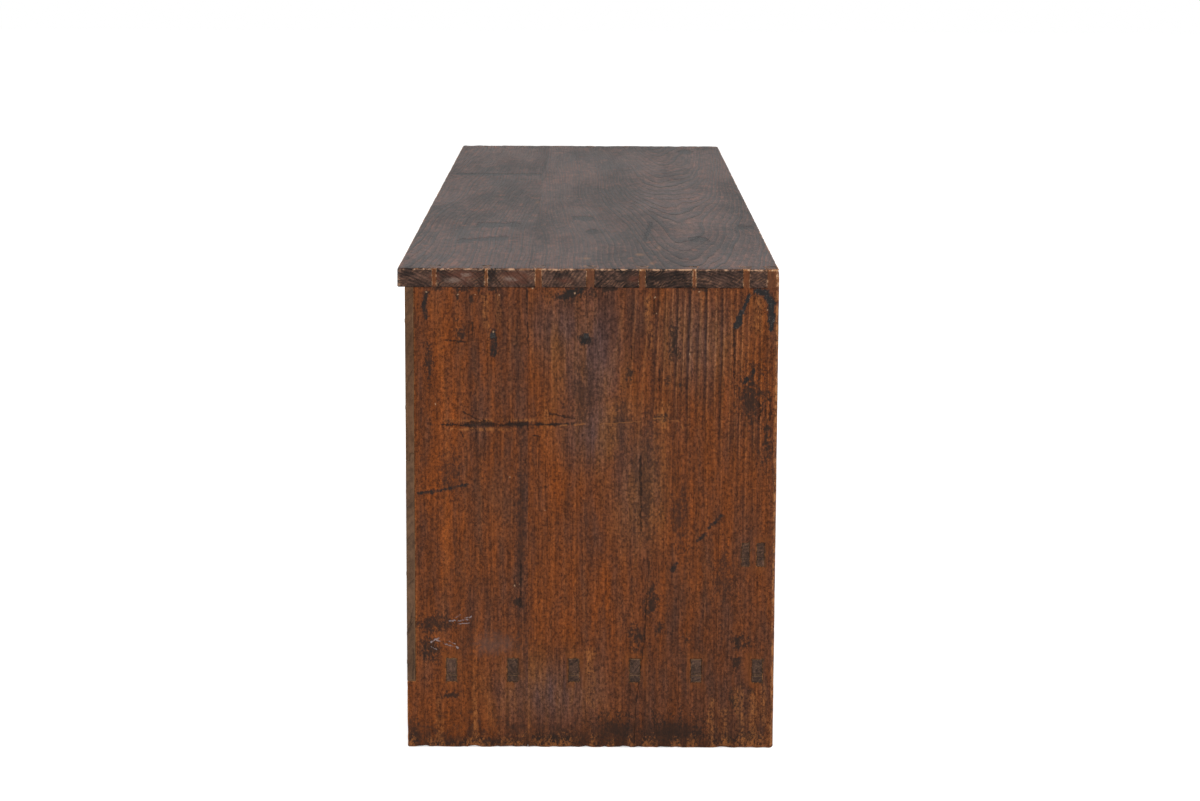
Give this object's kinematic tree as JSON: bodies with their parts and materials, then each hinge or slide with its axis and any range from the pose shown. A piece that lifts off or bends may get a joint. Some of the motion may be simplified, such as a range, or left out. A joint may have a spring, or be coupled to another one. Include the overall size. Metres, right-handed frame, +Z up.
{
  "type": "storage cabinet",
  "caption": "Long low wooden cabinet with a dovetailed top, wedged through tenons, sliding panelled doors over drawers with iron bail pulls, and board feet.",
  "frame": {"origin": "on the floor, below the middle of the cabinet's box", "axes": "+X along the cabinet, -Y out of its front, +Z up"},
  "size_m": [1.5, 0.4116, 0.518],
  "materials": {
    "case_wood": "worn satin stain",
    "top_wood": "worn satin, greyed",
    "front_wood": "worn satin stain",
    "back_wood": "rough, unfinished",
    "inner_wood": "planed, unfinished",
    "wedge_wood": "end grain",
    "iron": "forged, dark"
  },
  "bodies": {
    "case": {"left_end_front_board": "case_wood", "left_end_rear_board": "case_wood", "right_end_front_board": "case_wood", "right_end_rear_board": "case_wood", "top_front_board": "top_wood", "top_rear_board": "top_wood", "bottom_front_board": "case_wood", "bottom_rear_board": "case_wood", "middle_rail": "case_wood", "top_rail": "case_wood", "shelf_front_board": "inner_wood", "shelf_rear_board": "inner_wood", "drawer_post_left": "case_wood", "drawer_post_right": "case_wood", "drawer_partition_left": "inner_wood", "drawer_partition_right": "inner_wood", "back_board_low": "back_wood", "back_board_middle": "back_wood", "back_board_high": "back_wood", "tenon_wedges": "wedge_wood", "back_nails": "iron", "end_nails": "iron"},
    "left_drawer": {"left_drawer_front": "front_wood", "left_drawer_left_side": "inner_wood", "left_drawer_right_side": "inner_wood", "left_drawer_back": "inner_wood", "left_drawer_bottom": "inner_wood", "left_drawer_pull_posts": "iron"},
    "left_drawer_handle": {"left_drawer_bail": "iron"},
    "middle_drawer": {"middle_drawer_front": "front_wood", "middle_drawer_left_side": "inner_wood", "middle_drawer_right_side": "inner_wood", "middle_drawer_back": "inner_wood", "middle_drawer_bottom": "inner_wood", "middle_drawer_pull_posts": "iron"},
    "middle_drawer_handle": {"middle_drawer_bail": "iron"},
    "right_drawer": {"right_drawer_front": "front_wood", "right_drawer_left_side": "inner_wood", "right_drawer_right_side": "inner_wood", "right_drawer_back": "inner_wood", "right_drawer_bottom": "inner_wood", "right_drawer_pull_posts": "iron"},
    "right_drawer_handle": {"right_drawer_bail": "iron"},
    "left_door": {"left_door_left_stile": "front_wood", "left_door_right_stile": "front_wood", "left_door_bottom_rail": "front_wood", "left_door_top_rail": "front_wood", "left_door_muntin": "front_wood", "left_door_left_panel": "front_wood", "left_door_right_panel": "front_wood", "left_door_finger_cup": "iron"},
    "right_door": {"right_door_left_stile": "front_wood", "right_door_right_stile": "front_wood", "right_door_bottom_rail": "front_wood", "right_door_top_rail": "front_wood", "right_door_muntin": "front_wood", "right_door_left_panel": "front_wood", "right_door_right_panel": "front_wood", "right_door_finger_cup": "iron"}
  },
  "joints": [
    {"name": "left_drawer_slide", "type": "slide", "parent": "case", "child": "left_drawer", "axis": [0, -1, 0], "range_m": [0, 0.3]},
    {"name": "left_drawer_handle_swing", "type": "hinge", "parent": "left_drawer", "child": "left_drawer_handle", "pos_m": [-0.49, -0.19825, 0.161], "axis": [-1, 0, 0], "range_deg": [-10, 150]},
    {"name": "middle_drawer_slide", "type": "slide", "parent": "case", "child": "middle_drawer", "axis": [0, -1, 0], "range_m": [0, 0.3]},
    {"name": "middle_drawer_handle_swing", "type": "hinge", "parent": "middle_drawer", "child": "middle_drawer_handle", "pos_m": [0, -0.19825, 0.161], "axis": [-1, 0, 0], "range_deg": [-10, 150]},
    {"name": "right_drawer_slide", "type": "slide", "parent": "case", "child": "right_drawer", "axis": [0, -1, 0], "range_m": [0, 0.3]},
    {"name": "right_drawer_handle_swing", "type": "hinge", "parent": "right_drawer", "child": "right_drawer_handle", "pos_m": [0.49, -0.19825, 0.161], "axis": [-1, 0, 0], "range_deg": [-10, 150]},
    {"name": "left_door_slide", "type": "slide", "parent": "case", "child": "left_door", "axis": [1, 0, 0], "range_m": [0, 0.7]},
    {"name": "right_door_slide", "type": "slide", "parent": "case", "child": "right_door", "axis": [1, 0, 0], "range_m": [-0.7, 0]}
  ]
}
